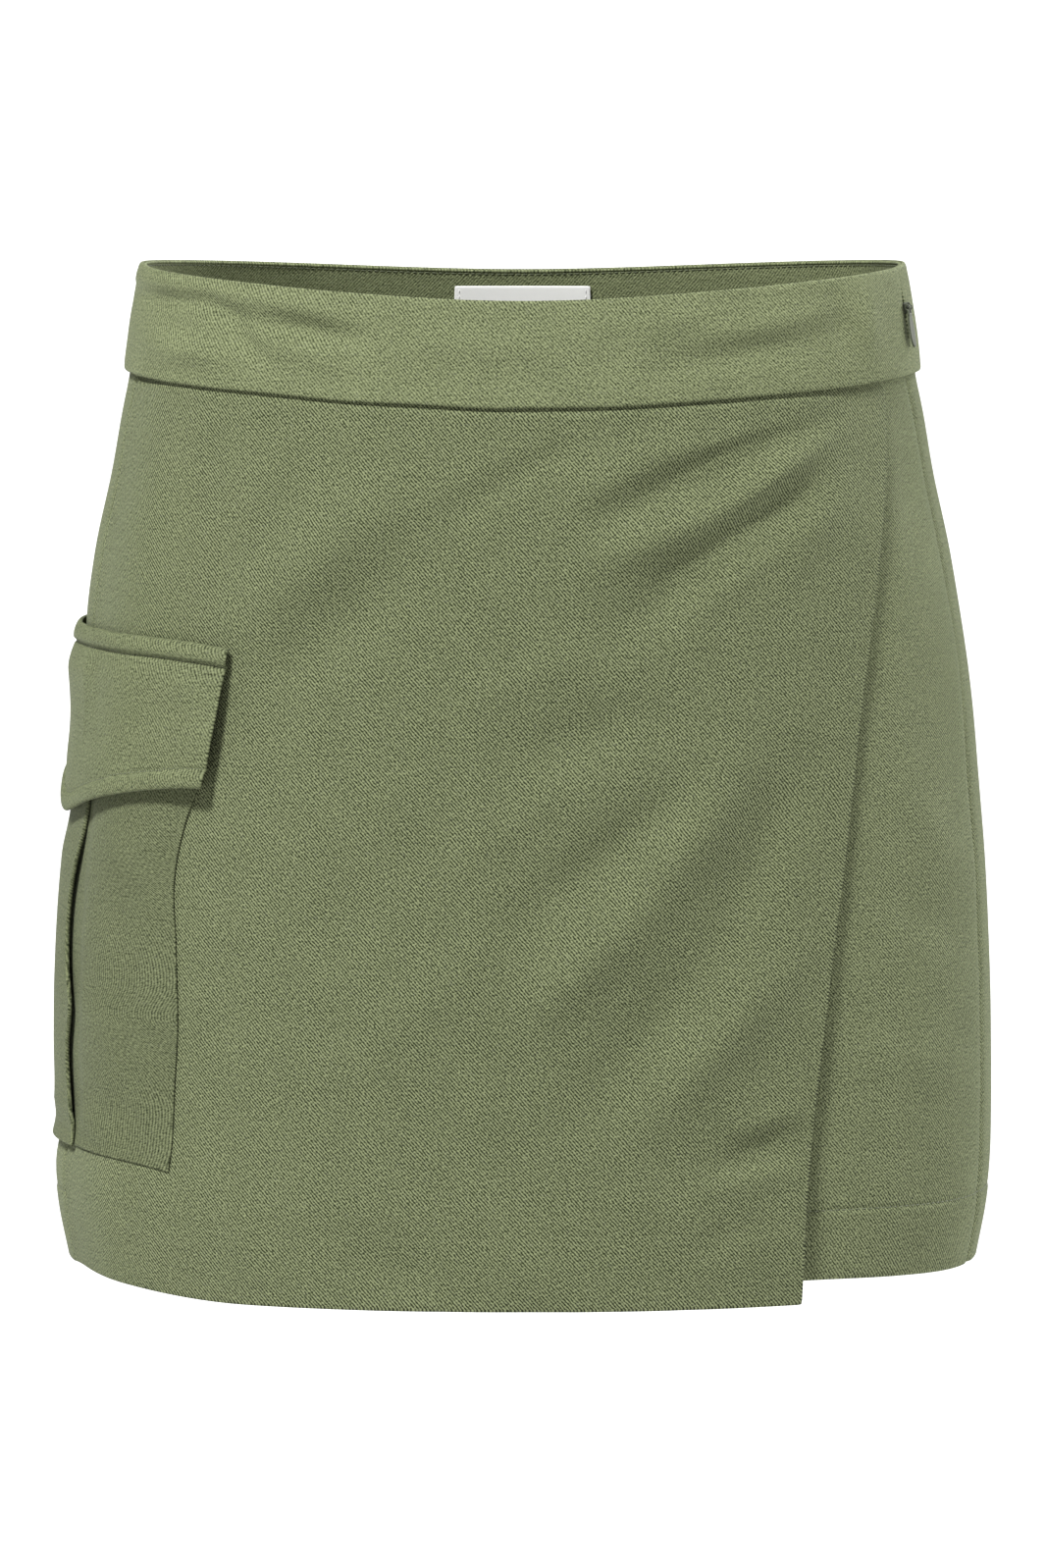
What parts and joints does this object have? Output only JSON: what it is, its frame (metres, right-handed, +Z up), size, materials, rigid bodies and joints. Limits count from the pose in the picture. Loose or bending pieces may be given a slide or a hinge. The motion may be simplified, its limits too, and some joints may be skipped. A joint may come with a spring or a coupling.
{
  "type": "cargo skort",
  "caption": "Sage green twill skort: shorts under a slanted wrap front, with a cargo pocket, a side zip and open waist and leg hems.",
  "frame": {"origin": "middle of the waist opening, level with the top edge at the sides, where the wearer holds the garment up", "axes": "+Z up, the front of the garment towards -Y, the wearer's left and the side zip towards +X"},
  "size_m": [0.3686, 0.2575, 0.3926],
  "materials": {
    "waistband": "matt cotton twill, sage green",
    "waistband_facing": "matt cotton twill, sage green",
    "leg_front_left": "matt cotton twill, sage green",
    "leg_front_right": "matt cotton twill, sage green",
    "leg_back_left": "matt cotton twill, sage green",
    "leg_back_right": "matt cotton twill, sage green",
    "wrap_front": "matt cotton twill, sage green",
    "pocket_bag": "matt cotton twill, sage green",
    "pocket_flap": "matt cotton twill, sage green",
    "label": "woven satin, white, bare",
    "zip_tape": "woven zip tape, dark green",
    "zip_slider": "dark metal, satin",
    "zip_pull": "green paint on metal, satin"
  },
  "bodies": {
    "skort": {"waistband": "waistband", "waistband_facing": "waistband_facing", "leg_front_left": "leg_front_left", "leg_front_right": "leg_front_right", "leg_back_left": "leg_back_left", "leg_back_right": "leg_back_right", "wrap_front": "wrap_front", "pocket_bag": "pocket_bag", "pocket_flap": "pocket_flap", "label": "label", "zip_tape": "zip_tape", "zip_slider": "zip_slider"},
    "zip_pull": {"zip_pull": "zip_pull"}
  },
  "joints": [
    {"name": "pull_hinge", "type": "hinge", "parent": "skort", "child": "zip_pull", "pos_m": [0.14856, -0.03096, -0.01689], "axis": [-0.3195, -0.9476, 0], "range_deg": [0, 160]}
  ]
}
